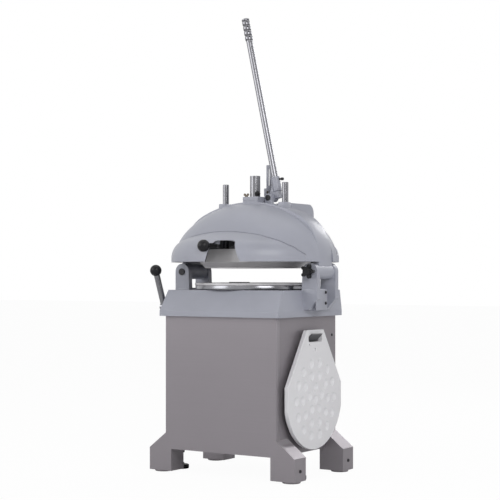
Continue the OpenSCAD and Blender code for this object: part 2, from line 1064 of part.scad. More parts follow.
// Knives for thirty pieces: four in the middle, then ten, then sixteen
module knife_grid() {
  r_out = ring_r - 5;
  cells = [4, 10, 16];
  edges = [0, sqrt(4 / 30) * r_out, sqrt(14 / 30) * r_out, r_out];
  blade = 2.5;
  color(bright)
    translate([0, bell_y, ring_z + 5])
      linear_extrude(press_z - ring_z - 5)
        for (i = [0 : 2]) {
          difference() {
            circle(edges[i + 1] + (i < 2 ? blade / 2 : 0));
            circle(edges[i + 1] - (i < 2 ? blade / 2 : blade));
          }
          for (k = [0 : cells[i] - 1])
            rotate(360 * k / cells[i])
              translate([edges[i], -blade / 2])
                square([edges[i + 1] - edges[i] - blade / 2, blade]);
        }
}

// Setting lever in the visor's opening
module setting_arm() {
  color(dark)
    translate([0, set_pin_y, set_z]) {
      translate([0, 0, -6])
        cylinder(h = 29, d = set_pin_d);
      translate([0, 0, -6])
        cylinder(h = 12, d = 26);
      block([-7, -set_len + setting_ball_d / 2 + 1, -5], [7, 0, 5]);
      rod_y_axis(-set_len + 11, -set_len + 40, 10);
    }
}

module setting_ball() {
  color(black)
    translate([0, set_pin_y - set_len, set_z])
      difference() {
        sphere(d = setting_ball_d);
        rod_y_axis(10, setting_ball_d, 10 + tiny);
      }
}

// Orbiting table and its drive
module table() {
  color(bright)
    difference() {
      union() {
        translate([0, bell_y, 0])
          rotate_extrude($fn = 180)
            polygon([[0, table_z - table_t], [table_r - 3, table_z - table_t], [table_r, table_z - table_t + 3],
                     [table_r, table_z - 2], [table_r - 2, table_z], [0, table_z]]);
        for (x = [-idler_x, 0, idler_x])
          translate([x, bell_y, boss_z])
            cylinder(h = table_z - table_t - boss_z + 1, d = 56);
      }
      for (x = [-idler_x, 0, idler_x])
        translate([x, bell_y, boss_z - 1])
          cylinder(h = pin_top + 1 - boss_z + 1, d = pin_d + 2 * turn_gap);
    }
}

module table_stop() {
  color(black)
    block([11, bell_y - 219, table_z], [110, bell_y - 211, table_z + 4]);
}

module shaft_bearing() {
  color(dark)
    translate([drive_x, bell_y, deck_top])
      difference() {
        union() {
          cylinder(h = cheek_z - pass_gap - deck_top, d = 100);
          cylinder(h = 10, d = 160);
        }
        translate([0, 0, -1])
          cylinder(h = far, d = shaft_d + 2 * turn_gap);
      }
}

module main_shaft() {
  bottom = belt_z - 8;
  color(bright)
    translate([drive_x, bell_y, 0]) {
      translate([0, 0, bottom])
        cylinder(h = cheek_z - bottom + 1, d = shaft_d);
      translate([0, 0, cheek_z])
        cylinder(h = cheek_t, d = 86);
      translate([orbit, 0, cheek_top - 1])
        cylinder(h = pin_top - cheek_top + 1, d = pin_d);
    }
}

// A pulley with one belt groove
module pulley(d, bore) {
  difference() {
    rotate_extrude()
      polygon([[bore / 2 + tiny, -belt_h / 2 - 4], [d / 2 + 6, -belt_h / 2 - 4], [d / 2 + 6, -belt_h / 2 - 1],
               [d / 2, -belt_h / 2 + 2], [d / 2, belt_h / 2 - 2], [d / 2 + 6, belt_h / 2 + 1],
               [d / 2 + 6, belt_h / 2 + 4], [bore / 2 + tiny, belt_h / 2 + 4]]);
    if (d > 100)
      for (a = [0 : 72 : 288])
        rotate(a)
          translate([d / 3.6, 0, -far / 2])
            cylinder(h = far, d = d / 5);
  }
}

module driven_pulley() {
  color(dark)
    translate([drive_x, bell_y, belt_z])
      pulley(pulley_d, shaft_d);
}

module idler_bearings() {
  color(dark)
    for (x = [-idler_x, idler_x])
      translate([drive_x + x, bell_y, deck_top])
        difference() {
          union() {
            cylinder(h = cheek_z - pass_gap - deck_top, d = 52);
            cylinder(h = 8, d = 84);
          }
          translate([0, 0, 4])
            cylinder(h = far, d = idler_d + 2 * turn_gap);
        }
}

module idler(x) {
  color(bright)
    translate([drive_x + x, bell_y, 0]) {
      translate([0, 0, deck_top + 5])
        cylinder(h = cheek_z - deck_top - 4, d = idler_d);
      translate([0, 0, cheek_z])
        cylinder(h = cheek_t, d = 66);
      translate([orbit, 0, cheek_top - 1])
        cylinder(h = pin_top - cheek_top + 1, d = pin_d);
    }
}

module left_idler() {
  idler(-idler_x);
}

module right_idler() {
  idler(idler_x);
}

module motor_plate() {
  color(dark)
    difference() {
      block([-110, cab_y1 + sheet + 4, plate_rest], [110, cab_y2 - sheet - 4, plate_rest + motor_plate_t]);
      translate([drive_x, motor_y, plate_rest - 1])
        cylinder(h = motor_plate_t + 2, d = 60);
    }
}

// Motor hung under its plate, with cooling ribs
module motor() {
  color(dark)
    translate([drive_x, motor_y, plate_rest - motor_h])
      difference() {
        union() {
          cylinder(h = motor_h, r = motor_r - 8);
          translate([0, 0, motor_h - 12])
            cylinder(h = 12, r = motor_r);
          cylinder(h = 40, r = motor_r);
          for (a = [0 : 15 : 345])
            rotate(a)
              block([motor_r - 12, -1.5, 38], [motor_r - 1, 1.5, motor_h - 11]);
        }
        translate([0, 0, motor_h - 60])
          cylinder(h = 61, d = 24 + 2 * turn_gap);
      }
}

module motor_rotor() {
  color(bright)
    translate([drive_x, motor_y, 0]) {
      translate([0, 0, plate_rest - 58])
        cylinder(h = belt_z + 16 - plate_rest + 58, d = 24);
      translate([0, 0, belt_z])
        pulley(motor_pulley_d, 24 - 2);
    }
}

// Belt loop round both pulleys
module belt_outline(t) {
  hull() {
    translate([0, bell_y])
      circle(pulley_d / 2 + t, $fn = 64);
    translate([0, motor_y])
      circle(motor_pulley_d / 2 + t, $fn = 48);
  }
}

module drive_belt() {
  color(black)
    translate([drive_x, 0, belt_z - 4])
      linear_extrude(8)
        difference() {
          belt_outline(6);
          belt_outline(pass_gap);
        }
}

// Rounding lever on the left side of the skirt
module rounding_shaft() {
  color(bright)
    translate([0, round_y, round_z]) {
      rod_x_axis(-round_x - 16, -skirt_x + 40, round_d);
      rod_x_axis(-skirt_x + 30 + pass_gap, -skirt_x + 38, 28);
      difference() {
        rod_x_axis(-round_x - 13, -skirt_x - 2, 34);
        rod_x_axis(-round_x - 14, -skirt_x, round_d - 1);
      }
    }
}

module rounding_rod() {
  len = norm([round_out, round_front, round_rise]);
  tilt = acos(round_rise / len);
  turn = atan2(-round_front, -round_out);
  color(bright)
    difference() {
      translate([-round_x, round_y, round_z])
        rotate([0, tilt, turn])
          cylinder(h = len - 12, d = 18);
      translate([0, round_y, round_z])
        rod_x_axis(-round_x - 40, -skirt_x, 34 + tiny);
    }
}

module rounding_ball() {
  len = norm([round_out, round_front, round_rise]);
  color(black)
    difference() {
      translate([-round_x - round_out, round_y - round_front, round_z + round_rise])
        sphere(d = ball_d);
      translate([-round_x, round_y, round_z])
        rotate([0, acos(round_rise / len), atan2(-round_front, -round_out)])
          cylinder(h = len - 12 + tiny, d = 18 + tiny);
    }
}

// Hook with a tongue that slopes up and out through the plate's slot
module plate_hook() {
  tongue = 4 * sqrt(2);
  rest = slot_z + slot_h / 2 - pass_gap - plate_off - plate_t;
  reach = plate_off + plate_t + 8;
  color(steel)
    along_y(plate_y - 44, plate_y + 44)
      polygon([
        [cab_x2, rest - 60], [cab_x2 + 4, rest - 60], [cab_x2 + 4, rest - tongue + 4],
        [cab_x2 + reach + 2, rest - tongue + reach + 2], [cab_x2 + reach - 1, rest + reach - 1], [cab_x2, rest]
      ]);
}

// Moulding plate with thirty shallow cups
module moulding_plate() {
  disc_r = 227;
  shoulder = disc_r + 46;
  half = plate_w / 2;
  tab = 69;
  rings = [[4, 38], [10, 100], [16, 165]];
  cup_sphere = 34;
  cup_out = sqrt(cup_sphere * cup_sphere - cup_r * cup_r);
  color(white)
    difference() {
      translate([0, plate_y, plate_bottom])
        along_x(plate_x, plate_x + plate_t)
          difference() {
            intersection() {
              union() {
                translate([0, disc_r])
                  circle(disc_r, $fn = 180);
                polygon([[-half, disc_r], [half, disc_r], [half, shoulder], [tab, plate_h], [-tab, plate_h],
                         [-half, shoulder]]);
              }
              polygon([[-half, 0], [half, 0], [half, shoulder], [tab, plate_h], [-tab, plate_h],
                       [-half, shoulder]]);
            }
            translate([-slot_w / 2, plate_h - (plate_top - slot_z) - slot_h / 2])
              square([slot_w, slot_h]);
          }
      translate([plate_x + plate_t, plate_y, plate_bottom + disc_r]) {
        for (ring = rings)
          for (k = [0 : ring[0] - 1])
            rotate([360 * (k + 0.5) / ring[0], 0, 0])
              translate([cup_out, 0, ring[1]])
                sphere(cup_sphere);
        for (y = [-13, 13])
          translate([-3, y, slot_z - 38 - plate_bottom - disc_r])
            rod_x_axis(0, 6, 7);
      }
    }
}

base_frame();
front_panel();
rear_panel();
left_panel();
right_panel();
leg_boxes();
leg_glides();
leg_bolts();
foot_pads();
foot_spindles();
foot_nuts();
cable_gland();
skirt();
deck_plate();
left_bracket();
right_bracket();
bracket_bolts();
hinge_pin();
star_knob();
clamp_screw();
yoke();
hinge_bush();
bell_front();
bell_rear();
strut_housing();
rod_pads();
top_block();
wing_nut();
lock_knob();
lever_lugs();
fulcrum_pin();
lever_socket();
lever_tube();
lever_grip();
crank_pin();
press_link();
main_post();
guide_rods();
press_plate();
dividing_ring();
knife_grid();
setting_arm();
setting_ball();
table();
table_stop();
shaft_bearing();
main_shaft();
driven_pulley();
idler_bearings();
left_idler();
right_idler();
motor_plate();
motor();
motor_rotor();
drive_belt();
rounding_shaft();
rounding_rod();
rounding_ball();
plate_hook();
moulding_plate();
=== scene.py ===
"""Looks of the divider rounder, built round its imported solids.

Lengths are in metres in the frame of the solids: x to the right, y to the back, z up.
"""
import json
import math

import bpy
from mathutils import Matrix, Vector


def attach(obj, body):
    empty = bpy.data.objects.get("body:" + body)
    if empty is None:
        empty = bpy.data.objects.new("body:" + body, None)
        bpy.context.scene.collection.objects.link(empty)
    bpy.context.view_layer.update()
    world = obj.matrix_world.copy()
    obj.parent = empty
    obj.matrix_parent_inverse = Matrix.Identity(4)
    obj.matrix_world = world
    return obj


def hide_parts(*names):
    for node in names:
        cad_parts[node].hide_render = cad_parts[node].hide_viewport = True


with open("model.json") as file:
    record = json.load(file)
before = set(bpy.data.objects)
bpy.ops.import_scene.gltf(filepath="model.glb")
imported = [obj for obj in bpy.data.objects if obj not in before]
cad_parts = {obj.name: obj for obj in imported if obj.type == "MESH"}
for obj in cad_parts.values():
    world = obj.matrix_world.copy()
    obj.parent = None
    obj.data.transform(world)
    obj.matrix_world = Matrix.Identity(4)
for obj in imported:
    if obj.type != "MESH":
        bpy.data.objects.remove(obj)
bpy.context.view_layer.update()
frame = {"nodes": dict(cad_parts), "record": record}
scene = bpy.context.scene

WHITE = (1, 1, 1, 1)
UPRIGHT = (0, 0, 0)
ALONG_X = (0, math.radians(90), 0)
ALONG_Y = (math.radians(90), 0, 0)

# Bell: middle of its rim, the flat where its halves end, and its wall
BELL = (0.0, 0.025, 0.908)
SPLIT = 0.0559
BELL_WALL = 0.006
# Dome: half length, height and end radius of its elevation, half of its width, and how
# square its plan is (an ellipse has 1, and less is fuller)
DOME = (0.364, 0.261, 0.215)
DOME_HALF_WIDTH = 0.275
DOME_FULLNESS = 0.8
# Visor: radius, height and edge radius of its section, and the upright rim below it
VISOR = (0.366, 0.152, 0.084)
VISOR_RIM = 0.018
# Flats that bring the ends of the visor down to the rim: a point's x and z, and the slope
VISOR_ENDS = (
    (0.342, 0.0, 5.8), (0.337, 0.029, 0.90), (0.304, 0.0585, 0.52), (0.250, 0.0865, 0.31),
)
SETTING_PIN_Y = -0.265

ROD_X = 0.155
ROD_BORE = 0.01395
POST_BORE = 0.0227

PLATE_Y, PLATE_LOW, PLATE_HIGH = 0.005, 0.115, 0.620
PLATE_BACK, PLATE_FACE = 0.300, 0.318


# Shader nodes
def add_node(tree, kind, values=None, operation=None):
    node = tree.nodes.new("ShaderNode" + kind)
    if operation:
        node.operation = operation
    for socket, value in (values or {}).items():
        node.inputs[socket].default_value = value
    return node


def link(tree, *pairs):
    for output, socket in pairs:
        tree.links.new(output, socket)


# Camera, floor and light
def place_camera():
    """Camera at the photograph's viewing angle."""
    yaw = math.radians(33.3)
    distance, middle_y, eye_height = 5.786, -0.004, 0.848
    bpy.ops.object.camera_add(
        location=(distance * math.sin(yaw), middle_y - distance * math.cos(yaw), eye_height),
        rotation=(math.radians(90), 0, yaw),
    )
    camera = bpy.context.object
    camera.name = "photo_camera"
    camera.data.sensor_width = 36
    camera.data.lens = 95.6
    camera.data.shift_x = -0.003
    camera.data.shift_y = 0.052
    camera.data.clip_end = 60
    scene.camera = camera


def lay_floor():
    """Floor that looks white to the camera and still takes the machine's shadow."""
    white_share = 0.965
    bpy.ops.mesh.primitive_plane_add(size=60, location=(0, 0, -0.0005))
    floor = bpy.context.object
    floor.name = "pale_floor"
    mat = bpy.data.materials.new("pale_floor")
    mat.use_nodes = True
    tree = mat.node_tree
    shader = tree.nodes["Principled BSDF"]
    shader.inputs["Base Color"].default_value = (0.92, 0.92, 0.92, 1)
    shader.inputs["Roughness"].default_value = 0.9
    path = add_node(tree, "LightPath")
    glow = add_node(tree, "Emission", {"Color": WHITE, "Strength": 1.0})
    seen = add_node(tree, "Math", {1: white_share}, "MULTIPLY")
    mix = add_node(tree, "MixShader")
    link(
        tree,
        (path.outputs["Is Camera Ray"], seen.inputs[0]),
        (seen.outputs[0], mix.inputs[0]),
        (shader.outputs[0], mix.inputs[1]),
        (glow.outputs[0], mix.inputs[2]),
        (mix.outputs[0], tree.nodes["Material Output"].inputs["Surface"]),
    )
    floor.data.materials.append(mat)


def surround_studio():
    """Soft white studio. Bright metal reflects white walls with two dark gaps between them."""
    soft_level = 0.34
    wide_gap = ((0.31, 1.0), (0.36, 0.10), (0.44, 0.10), (0.50, 1.0))
    slim_gap = ((0.74, 1.0), (0.775, 0.25), (0.81, 0.25), (0.85, 1.0))
    world = bpy.data.worlds.new("studio")
    scene.world = world
    world.use_nodes = True
    tree = world.node_tree
    tree.nodes.clear()
    path = add_node(tree, "LightPath")
    soft = add_node(tree, "Background", {"Color": WHITE, "Strength": soft_level})
    white = add_node(tree, "Background", {"Color": WHITE, "Strength": 1.0})
    gloss = add_node(tree, "Background")
    coord = add_node(tree, "TexCoord")
    axes = add_node(tree, "SeparateXYZ")
    bearing = add_node(tree, "Math", operation="ARCTAN2")
    share = add_node(tree, "MapRange", {"From Min": -math.pi, "From Max": math.pi})
    walls = add_node(tree, "ValToRGB")
    stops = walls.color_ramp.elements
    stops[0].color = WHITE
    stops[1].color = WHITE
    for place, level in wide_gap + slim_gap:
        stops.new(place).color = (level, level, level, 1)
    inner = add_node(tree, "MixShader")
    mix = add_node(tree, "MixShader")
    out = add_node(tree, "OutputWorld")
    link(
        tree,
        (coord.outputs["Generated"], axes.inputs[0]),
        (axes.outputs["Y"], bearing.inputs[0]),
        (axes.outputs["X"], bearing.inputs[1]),
        (bearing.outputs[0], share.inputs["Value"]),
        (share.outputs["Result"], walls.inputs["Fac"]),
        (walls.outputs["Color"], gloss.inputs["Color"]),
        (path.outputs["Is Glossy Ray"], inner.inputs[0]),
        (soft.outputs[0], inner.inputs[1]),
        (gloss.outputs[0], inner.inputs[2]),
        (path.outputs["Is Camera Ray"], mix.inputs[0]),
        (inner.outputs[0], mix.inputs[1]),
        (white.outputs[0], mix.inputs[2]),
        (mix.outputs[0], out.inputs[0]),
    )


def hang_lamps():
    lamps = (
        ("key", (-3.0, -3.8, 2.5), (0, 0, 0.7), 2.6, 60),
        ("fill", (3.3, -2.6, 2.7), (0, 0, 0.7), 2.2, 76),
        ("top", (0, 0.4, 4.4), (0, 0.4, 0), 2.4, 16),
        ("back", (0.5, 3.8, 2.7), (0.2, 0, 0.7), 1.2, 27),
    )
    for name, place, aim, size, power in lamps:
        turn = (Vector(aim) - Vector(place)).to_track_quat("-Z", "Y").to_euler()
        bpy.ops.object.light_add(type="AREA", location=place, rotation=turn)
        lamp = bpy.context.object
        lamp.name = name + "_lamp"
        lamp.data.size = size
        lamp.data.energy = power


# Finishes, all on Object coordinates
def set_socket(mat, socket, value):
    mat.node_tree.nodes["Principled BSDF"].inputs[socket].default_value = value


def new_material(name, color, metallic, roughness, coat=0.0):
    mat = bpy.data.materials.new(name)
    mat.use_nodes = True
    values = {
        "Base Color": (*color, 1),
        "Metallic": metallic,
        "Roughness": roughness,
        "Coat Weight": coat,
        "Coat Roughness": 0.12,
    }
    for socket, value in values.items():
        set_socket(mat, socket, value)
    return mat


def feed(mat, output, socket):
    """Lead an output into the material's shader."""
    link(mat.node_tree, (output, mat.node_tree.nodes["Principled BSDF"].inputs[socket]))


def object_coords(mat, scale=(1, 1, 1)):
    coord = add_node(mat.node_tree, "TexCoord")
    mapping = add_node(mat.node_tree, "Mapping", {"Scale": scale})
    link(mat.node_tree, (coord.outputs["Object"], mapping.inputs["Vector"]))
    return mapping.outputs["Vector"]


def noise(mat, vector, scale, detail):
    node = add_node(mat.node_tree, "TexNoise", {"Scale": scale, "Detail": detail})
    link(mat.node_tree, (vector, node.inputs["Vector"]))
    return node.outputs["Fac"]


def tint(mat, fac, color, low, high):
    """The colour from low to high times its strength, over the middle of the pattern."""
    node = add_node(mat.node_tree, "ValToRGB")
    for stop, place, strength in zip(node.color_ramp.elements, (0.3, 0.7), (low, high)):
        stop.position = place
        stop.color = (*(min(1.0, c * strength) for c in color), 1)
    link(mat.node_tree, (fac, node.inputs["Fac"]))
    feed(mat, node.outputs["Color"], "Base Color")


def vary_roughness(mat, fac, low, high):
    node = add_node(mat.node_tree, "MapRange", {"To Min": low, "To Max": high})
    link(mat.node_tree, (fac, node.inputs["Value"]))
    feed(mat, node.outputs["Result"], "Roughness")


def bump(mat, height, strength, distance):
    node = add_node(mat.node_tree, "Bump", {"Strength": strength, "Distance": distance})
    link(mat.node_tree, (height, node.inputs["Height"]))
    feed(mat, node.outputs["Normal"], "Normal")


def finish_paint():
    color = (0.378, 0.388, 0.448)
    mat = new_material("smooth_grey_paint", color, 0.0, 0.40, coat=0.10)
    coords = object_coords(mat)
    broad = noise(mat, coords, 6, 3)
    fine = noise(mat, coords, 420, 2)
    tint(mat, broad, color, 0.95, 1.05)
    vary_roughness(mat, broad, 0.36, 0.46)
    bump(mat, fine, 0.06, 0.0006)
    return mat


def finish_cabinet():
    """Sheet steel brushed from side to side, with a faint cloud over it."""
    color = (0.298, 0.276, 0.298)
    grain_share, cloud_share = 0.6, 0.4
    mat = new_material("brushed_cabinet_steel", color, 0.55, 0.42)
    set_socket(mat, "Anisotropic", 0.4)
    grain = noise(mat, object_coords(mat, (3, 3, 900)), 1.0, 3)
    cloud = noise(mat, object_coords(mat), 3.0, 2)
    part = add_node(mat.node_tree, "Math", {1: cloud_share}, "MULTIPLY")
    both = add_node(mat.node_tree, "Math", {1: grain_share}, "MULTIPLY_ADD")
    link(
        mat.node_tree,
        (cloud, part.inputs[0]),
        (grain, both.inputs[0]),
        (part.outputs[0], both.inputs[2]),
    )
    tint(mat, both.outputs[0], color, 0.96, 1.04)
    vary_roughness(mat, grain, 0.36, 0.50)
    bump(mat, grain, 0.05, 0.0004)
    return mat


def finish_bright():
    color = (0.25, 0.25, 0.268)
    mat = new_material("polished_steel", color, 1.0, 0.22)
    fine = noise(mat, object_coords(mat, (40, 40, 260)), 1.0, 3)
    tint(mat, fine, color, 0.92, 1.06)
    vary_roughness(mat, fine, 0.18, 0.26)
    return mat


def finish_black():
    color = (0.011, 0.011, 0.013)
    mat = new_material("black_moulding", color, 0.0, 0.28)
    set_socket(mat, "Specular IOR Level", 0.24)
    fine = noise(mat, object_coords(mat), 300, 2)
    tint(mat, fine, color, 0.8, 1.5)
    vary_roughness(mat, fine, 0.22, 0.36)
    bump(mat, fine, 0.05, 0.0004)
    return mat


def finish_dark(name, color, metallic):
    mat = new_material(name, color, metallic, 0.45)
    fine = noise(mat, object_coords(mat), 180, 4)
    tint(mat, fine, color, 0.85, 1.2)
    vary_roughness(mat, fine, 0.36, 0.55)
    bump(mat, fine, 0.12, 0.0005)
    return mat


def finish_plate():
    color = (0.80, 0.795, 0.82)
    mat = new_material("white_plate", color, 0.0, 0.5)
    coords = object_coords(mat)
    cloud = noise(mat, coords, 9, 3)
    fine = noise(mat, coords, 500, 2)
    tint(mat, cloud, color, 0.985, 1.015)
    vary_roughness(mat, cloud, 0.44, 0.58)
    bump(mat, fine, 0.03, 0.0003)
    return mat


def finish_satin():
    color = (0.625, 0.615, 0.630)
    mat = new_material("satin_ring_steel", color, 0.45, 0.36)
    grain = noise(mat, object_coords(mat, (6, 6, 700)), 1.0, 3)
    tint(mat, grain, color, 0.94, 1.05)
    vary_roughness(mat, grain, 0.28, 0.44)
    return mat


FINISHES = {
    "cabinet_steel": finish_cabinet(),
    "paint": finish_paint(),
    "bright_steel": finish_bright(),
    "black_plastic": finish_black(),
    "dark_steel": finish_dark("blackened_steel", (0.026, 0.026, 0.029), 0.5),
    "dark_cast": finish_dark("dark_casting", (0.07, 0.072, 0.078), 0.1),
    "bronze": finish_dark("turned_bronze", (0.135, 0.115, 0.095), 0.9),
    "belt": finish_dark("belt_rubber", (0.02, 0.02, 0.02), 0.0),
    "white_plastic": finish_plate(),
}


def dress_nodes():
    """Each solid gets its slot's finish, and four get the one that the photograph shows."""
    for entry in frame["record"]["subparts"]:
        materials = frame["nodes"][entry["node"]].data.materials
        materials.clear()
        materials.append(FINISHES[entry["material_slot"]])
    satin = finish_satin()
    seen = {
        "dividing_ring": satin,
        "table": satin,
        "plate_hook": FINISHES["dark_cast"],
        "press_link": FINISHES["paint"],
    }
    for name, finish in seen.items():
        frame["nodes"][name].data.materials[0] = finish


# Outlines are drawn one extruded point at a time, then spun or pulled into solids
def pick(piece):
    bpy.ops.object.select_all(action="DESELECT")
    piece.select_set(True)
    bpy.context.view_layer.objects.active = piece


def open_edit(piece):
    pick(piece)
    bpy.ops.object.mode_set(mode="EDIT")
    bpy.ops.mesh.select_all(action="SELECT")


def close_edit(merge=0.0):
    """Turn the faces outwards, once points that lie together are merged."""
    bpy.ops.mesh.select_all(action="SELECT")
    if merge:
        bpy.ops.mesh.remove_doubles(threshold=merge)
    bpy.ops.mesh.normals_make_consistent(inside=False)
    bpy.ops.object.mode_set(mode="OBJECT")


def draw_line(name, points, closed=False):
    bpy.ops.object.select_all(action="DESELECT")
    bpy.ops.mesh.primitive_plane_add(size=0.01)
    piece = bpy.context.object
    piece.name = name
    bpy.ops.object.mode_set(mode="EDIT")
    bpy.ops.mesh.select_mode(type="VERT")
    bpy.ops.mesh.select_all(action="SELECT")
    bpy.ops.mesh.merge(type="CENTER")
    bpy.ops.transform.translate(value=points[0])
    for before, after in zip(points, points[1:]):
        step = tuple(b - a for a, b in zip(before, after))
        bpy.ops.mesh.extrude_vertices_move(TRANSFORM_OT_translate={"value": step})
    bpy.ops.mesh.select_all(action="SELECT")
    if closed:
        bpy.ops.mesh.edge_face_add()
    bpy.ops.object.mode_set(mode="OBJECT")
    return piece


def pull_solid(name, points, way):
    piece = draw_line(name, points, closed=True)
    open_edit(piece)
    bpy.ops.mesh.extrude_region_move(TRANSFORM_OT_translate={"value": way})
    close_edit()
    return piece


def pull_along_x(name, line, x1, x2):
    return pull_solid(name, [(x1, y, z) for y, z in line], (x2 - x1, 0, 0))


def pull_along_y(name, line, y1, y2):
    return pull_solid(name, [(x, y1, z) for x, z in line], (0, y2 - y1, 0))


def spin_solid(name, points, axis, center, steps):
    piece = draw_line(name, points)
    open_edit(piece)
    bpy.ops.mesh.spin(steps=steps, angle=2 * math.pi, center=center, axis=axis)
    close_edit(merge=0.00002)
    return piece


def turn_solid(name, line, place):
    """A turned piece along x; the line gives the distance along the axis and the radius."""
    x, y, z = place
    points = [(x + along, y, z + radius) for along, radius in line]
    return spin_solid(name, points, (1, 0, 0), place, steps=32)


def lean_solid(name, line, foot, toward):
    """A turned piece on a leaning axis; the line gives the distance along it and the radius."""
    points = [(radius, 0, along) for along, radius in line]
    piece = spin_solid(name, points, (0, 0, 1), (0, 0, 0), steps=48)
    pick(piece)
    piece.rotation_euler = (Vector(toward) - Vector(foot)).to_track_quat("Z", "Y").to_euler()
    piece.location = foot
    bpy.ops.object.transform_apply(location=True, rotation=True, scale=True)
    return piece


def bar(name, radius, low, high, turn, steps=64):
    bpy.ops.object.select_all(action="DESELECT")
    bpy.ops.mesh.primitive_cylinder_add(
        vertices=steps,
        radius=radius,
        depth=math.dist(low, high),
        location=tuple((a + b) / 2 for a, b in zip(low, high)),
        rotation=turn,
    )
    piece = bpy.context.object
    piece.name = name
    bpy.ops.object.transform_apply(location=True, rotation=True, scale=True)
    return piece


def combine(piece, tool, way):
    pick(piece)
    mod = piece.modifiers.new("combine", "BOOLEAN")
    mod.operation = way
    mod.solver = "EXACT"
    mod.object = tool
    bpy.ops.object.modifier_apply(modifier=mod.name)
    bpy.data.objects.remove(tool, do_unlink=True)


def trim(piece, place, normal):
    open_edit(piece)
    bpy.ops.mesh.bisect(plane_co=place, plane_no=normal, use_fill=True, clear_outer=True)
    bpy.ops.object.mode_set(mode="OBJECT")


def ease_edges(piece, width, segments=2, degrees=35):
    pick(piece)
    rounded = piece.modifiers.new("edges", "BEVEL")
    rounded.width = width
    rounded.segments = segments
    rounded.limit_method = "ANGLE"
    rounded.angle_limit = math.radians(degrees)
    bpy.ops.object.modifier_apply(modifier=rounded.name)


def smooth(piece, degrees):
    pick(piece)
    bpy.ops.object.shade_smooth_by_angle(angle=math.radians(degrees))


def settle(piece, body, slot, node=None):
    """Give a finished piece its material and the body it rides on, and hide the solid it stands
    for.
    """
    piece.data.materials.clear()
    piece.data.materials.append(FINISHES[slot])
    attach(piece, body)
    if node:
        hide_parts(node)


# Bell castings
def oval_arcs(a, b, r):
    """Radius of the oval's flat top arc, and the angle at which its ends meet that arc."""
    top_radius = ((a - r) ** 2 + b * b - r * r) / (2 * (b - r))
    return top_radius, math.atan2(top_radius - b, a - r)


def oval(a, b, r, n=14):
    """Half of a three-centred oval from (a, 0) over the top to (-a, 0)."""
    big, turn = oval_arcs(a, b, r)
    half = []
    for k in range(n + 1):
        t = turn * k / n
        half.append((a - r + r * math.cos(t), r * math.sin(t)))
    for k in range(1, n):
        t = turn + (math.pi / 2 - turn) * k / n
        half.append((big * math.cos(t), b - big + big * math.sin(t)))
    return half + [(0, b)] + [(-x, z) for x, z in reversed(half)]


def oval_height(x, a, b, r):
    """Height of the three-centred oval at x."""
    big, turn = oval_arcs(a, b, r)
    if abs(x) > big * math.cos(turn):
        return math.sqrt(max(r * r - (abs(x) - a + r) ** 2, 1e-10))
    return b - big + math.sqrt(big * big - x * x)


def dome_solid(wall):
    """Ring after ring pulled across the machine, wider in plan than it is high."""
    a, b, r = (size - wall for size in DOME)
    half_width = DOME_HALF_WIDTH - wall
    count = 64
    rings = []
    for k in range(1, count):
        t = math.pi * k / count
        x = math.copysign(a * abs(math.cos(t)) ** DOME_FULLNESS, math.cos(t))
        rings.append((x, half_width * math.sin(t) ** DOME_FULLNESS, oval_height(x, a, b, r)))
    bpy.ops.object.select_all(action="DESELECT")
    bpy.ops.mesh.primitive_circle_add(
        vertices=112, radius=1, fill_type="NGON", rotation=(0, math.pi / 2, 0)
    )
    dome = bpy.context.object
    dome.name = "dome"
    bpy.ops.object.transform_apply(location=True, rotation=True, scale=True)
    open_edit(dome)
    x, wide, high = rings[0]
    bpy.ops.transform.resize(value=(1, wide, high), center_override=(0, 0, 0))
    bpy.ops.transform.translate(value=(x, BELL[1], BELL[2]))
    for (x0, wide0, high0), (x, wide, high) in zip(rings, rings[1:]):
        bpy.ops.mesh.extrude_region_move(TRANSFORM_OT_translate={"value": (x - x0, 0, 0)})
        bpy.ops.transform.resize(
            value=(1, wide / wide0, high / high0), center_override=(x, BELL[1], BELL[2])
        )
    close_edit()
    return dome


def bell_solid(wall):
    """Visor and dome in one, smaller by the wall."""
    a, b, r = (size - wall for size in VISOR)
    below = -0.012
    edge = [(x, z + VISOR_RIM) for x, z in oval(a, b, r, 12) if x >= 0]
    line = [(0, below), (a, below)] + edge
    points = [(x, BELL[1], BELL[2] + z) for x, z in line]
    visor = spin_solid("visor", points, (0, 0, 1), BELL, steps=128)
    for x, z, slope in VISOR_ENDS:
        length = math.hypot(1, slope)
        across, up = slope / length, 1 / length
        for side in (-1, 1):
            place = (side * (x - wall * across), BELL[1], BELL[2] + z - wall * up)
            trim(visor, place, (side * across, 0, up))
    combine(visor, dome_solid(wall), "UNION")
    return visor


def dome_height(x, y):
    a, b, r = DOME
    power = 2 / DOME_FULLNESS
    wide = DOME_HALF_WIDTH * max(1 - abs(x / a) ** power, 0) ** (1 / power)
    if wide <= y:
        return 0
    return oval_height(x, a, b, r) * math.sqrt(max(1 - (y / wide) ** 2, 0))


def visor_height(x, radius):
    height = VISOR_RIM + oval_height(radius, *VISOR)
    for flat_x, flat_z, slope in VISOR_ENDS:
        height = min(height, max(flat_z + (flat_x - abs(x)) * slope, 0))
    return height


def crease_line(side):
    """Points where the dome meets the visor, from rim to rim, each found by halving."""
    first, step, count = 21.5, 1.522, 91
    points = []
    for k in range(count):
        t = math.radians(first + step * k)
        inside, outside = 0.15, 0.3655
        for _ in range(40):
            radius = (inside + outside) / 2
            x, y = radius * math.cos(t), radius * math.sin(t)
            visor = visor_height(x, radius)
            if dome_height(x, y) > visor:
                inside = radius
            else:
                outside = radius
        points.append((x, BELL[1] + side * y, BELL[2] + visor))
    return points


